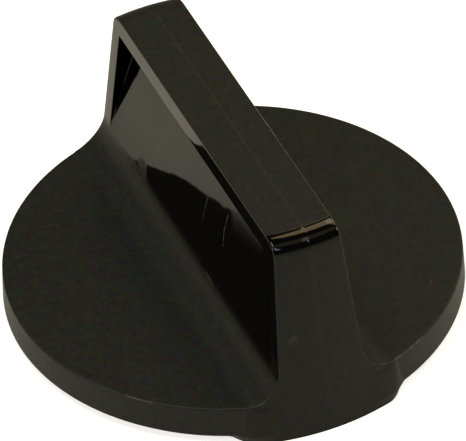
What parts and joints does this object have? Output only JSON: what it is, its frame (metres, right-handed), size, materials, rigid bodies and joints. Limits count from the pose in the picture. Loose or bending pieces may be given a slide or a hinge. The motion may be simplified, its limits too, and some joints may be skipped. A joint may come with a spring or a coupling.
{
  "type": "appliance control knob",
  "caption": "Round control knob for a kitchen appliance: flat skirt, tall bar grip with a recessed glossy panel on each side, and a pointer foot that runs down over the rim.",
  "frame": {"origin": "on the shaft's axis, in the plane of the skirt's lower face", "axes": "+Z along the shaft's axis, out of the appliance's panel towards the grip; +Y along the bar grip, and the pointer end seen in the picture looks along -Y; +X across the grip"},
  "size_m": [0.0574, 0.0588, 0.0272],
  "materials": {
    "body": "fine matte black moulding, with polished panels, panel frames and front bend on the grip",
    "clip": "bright spring steel strip"
  },
  "bodies": {
    "root": {"knob_body": "body", "spring_clip": "clip"}
  },
  "joints": []
}
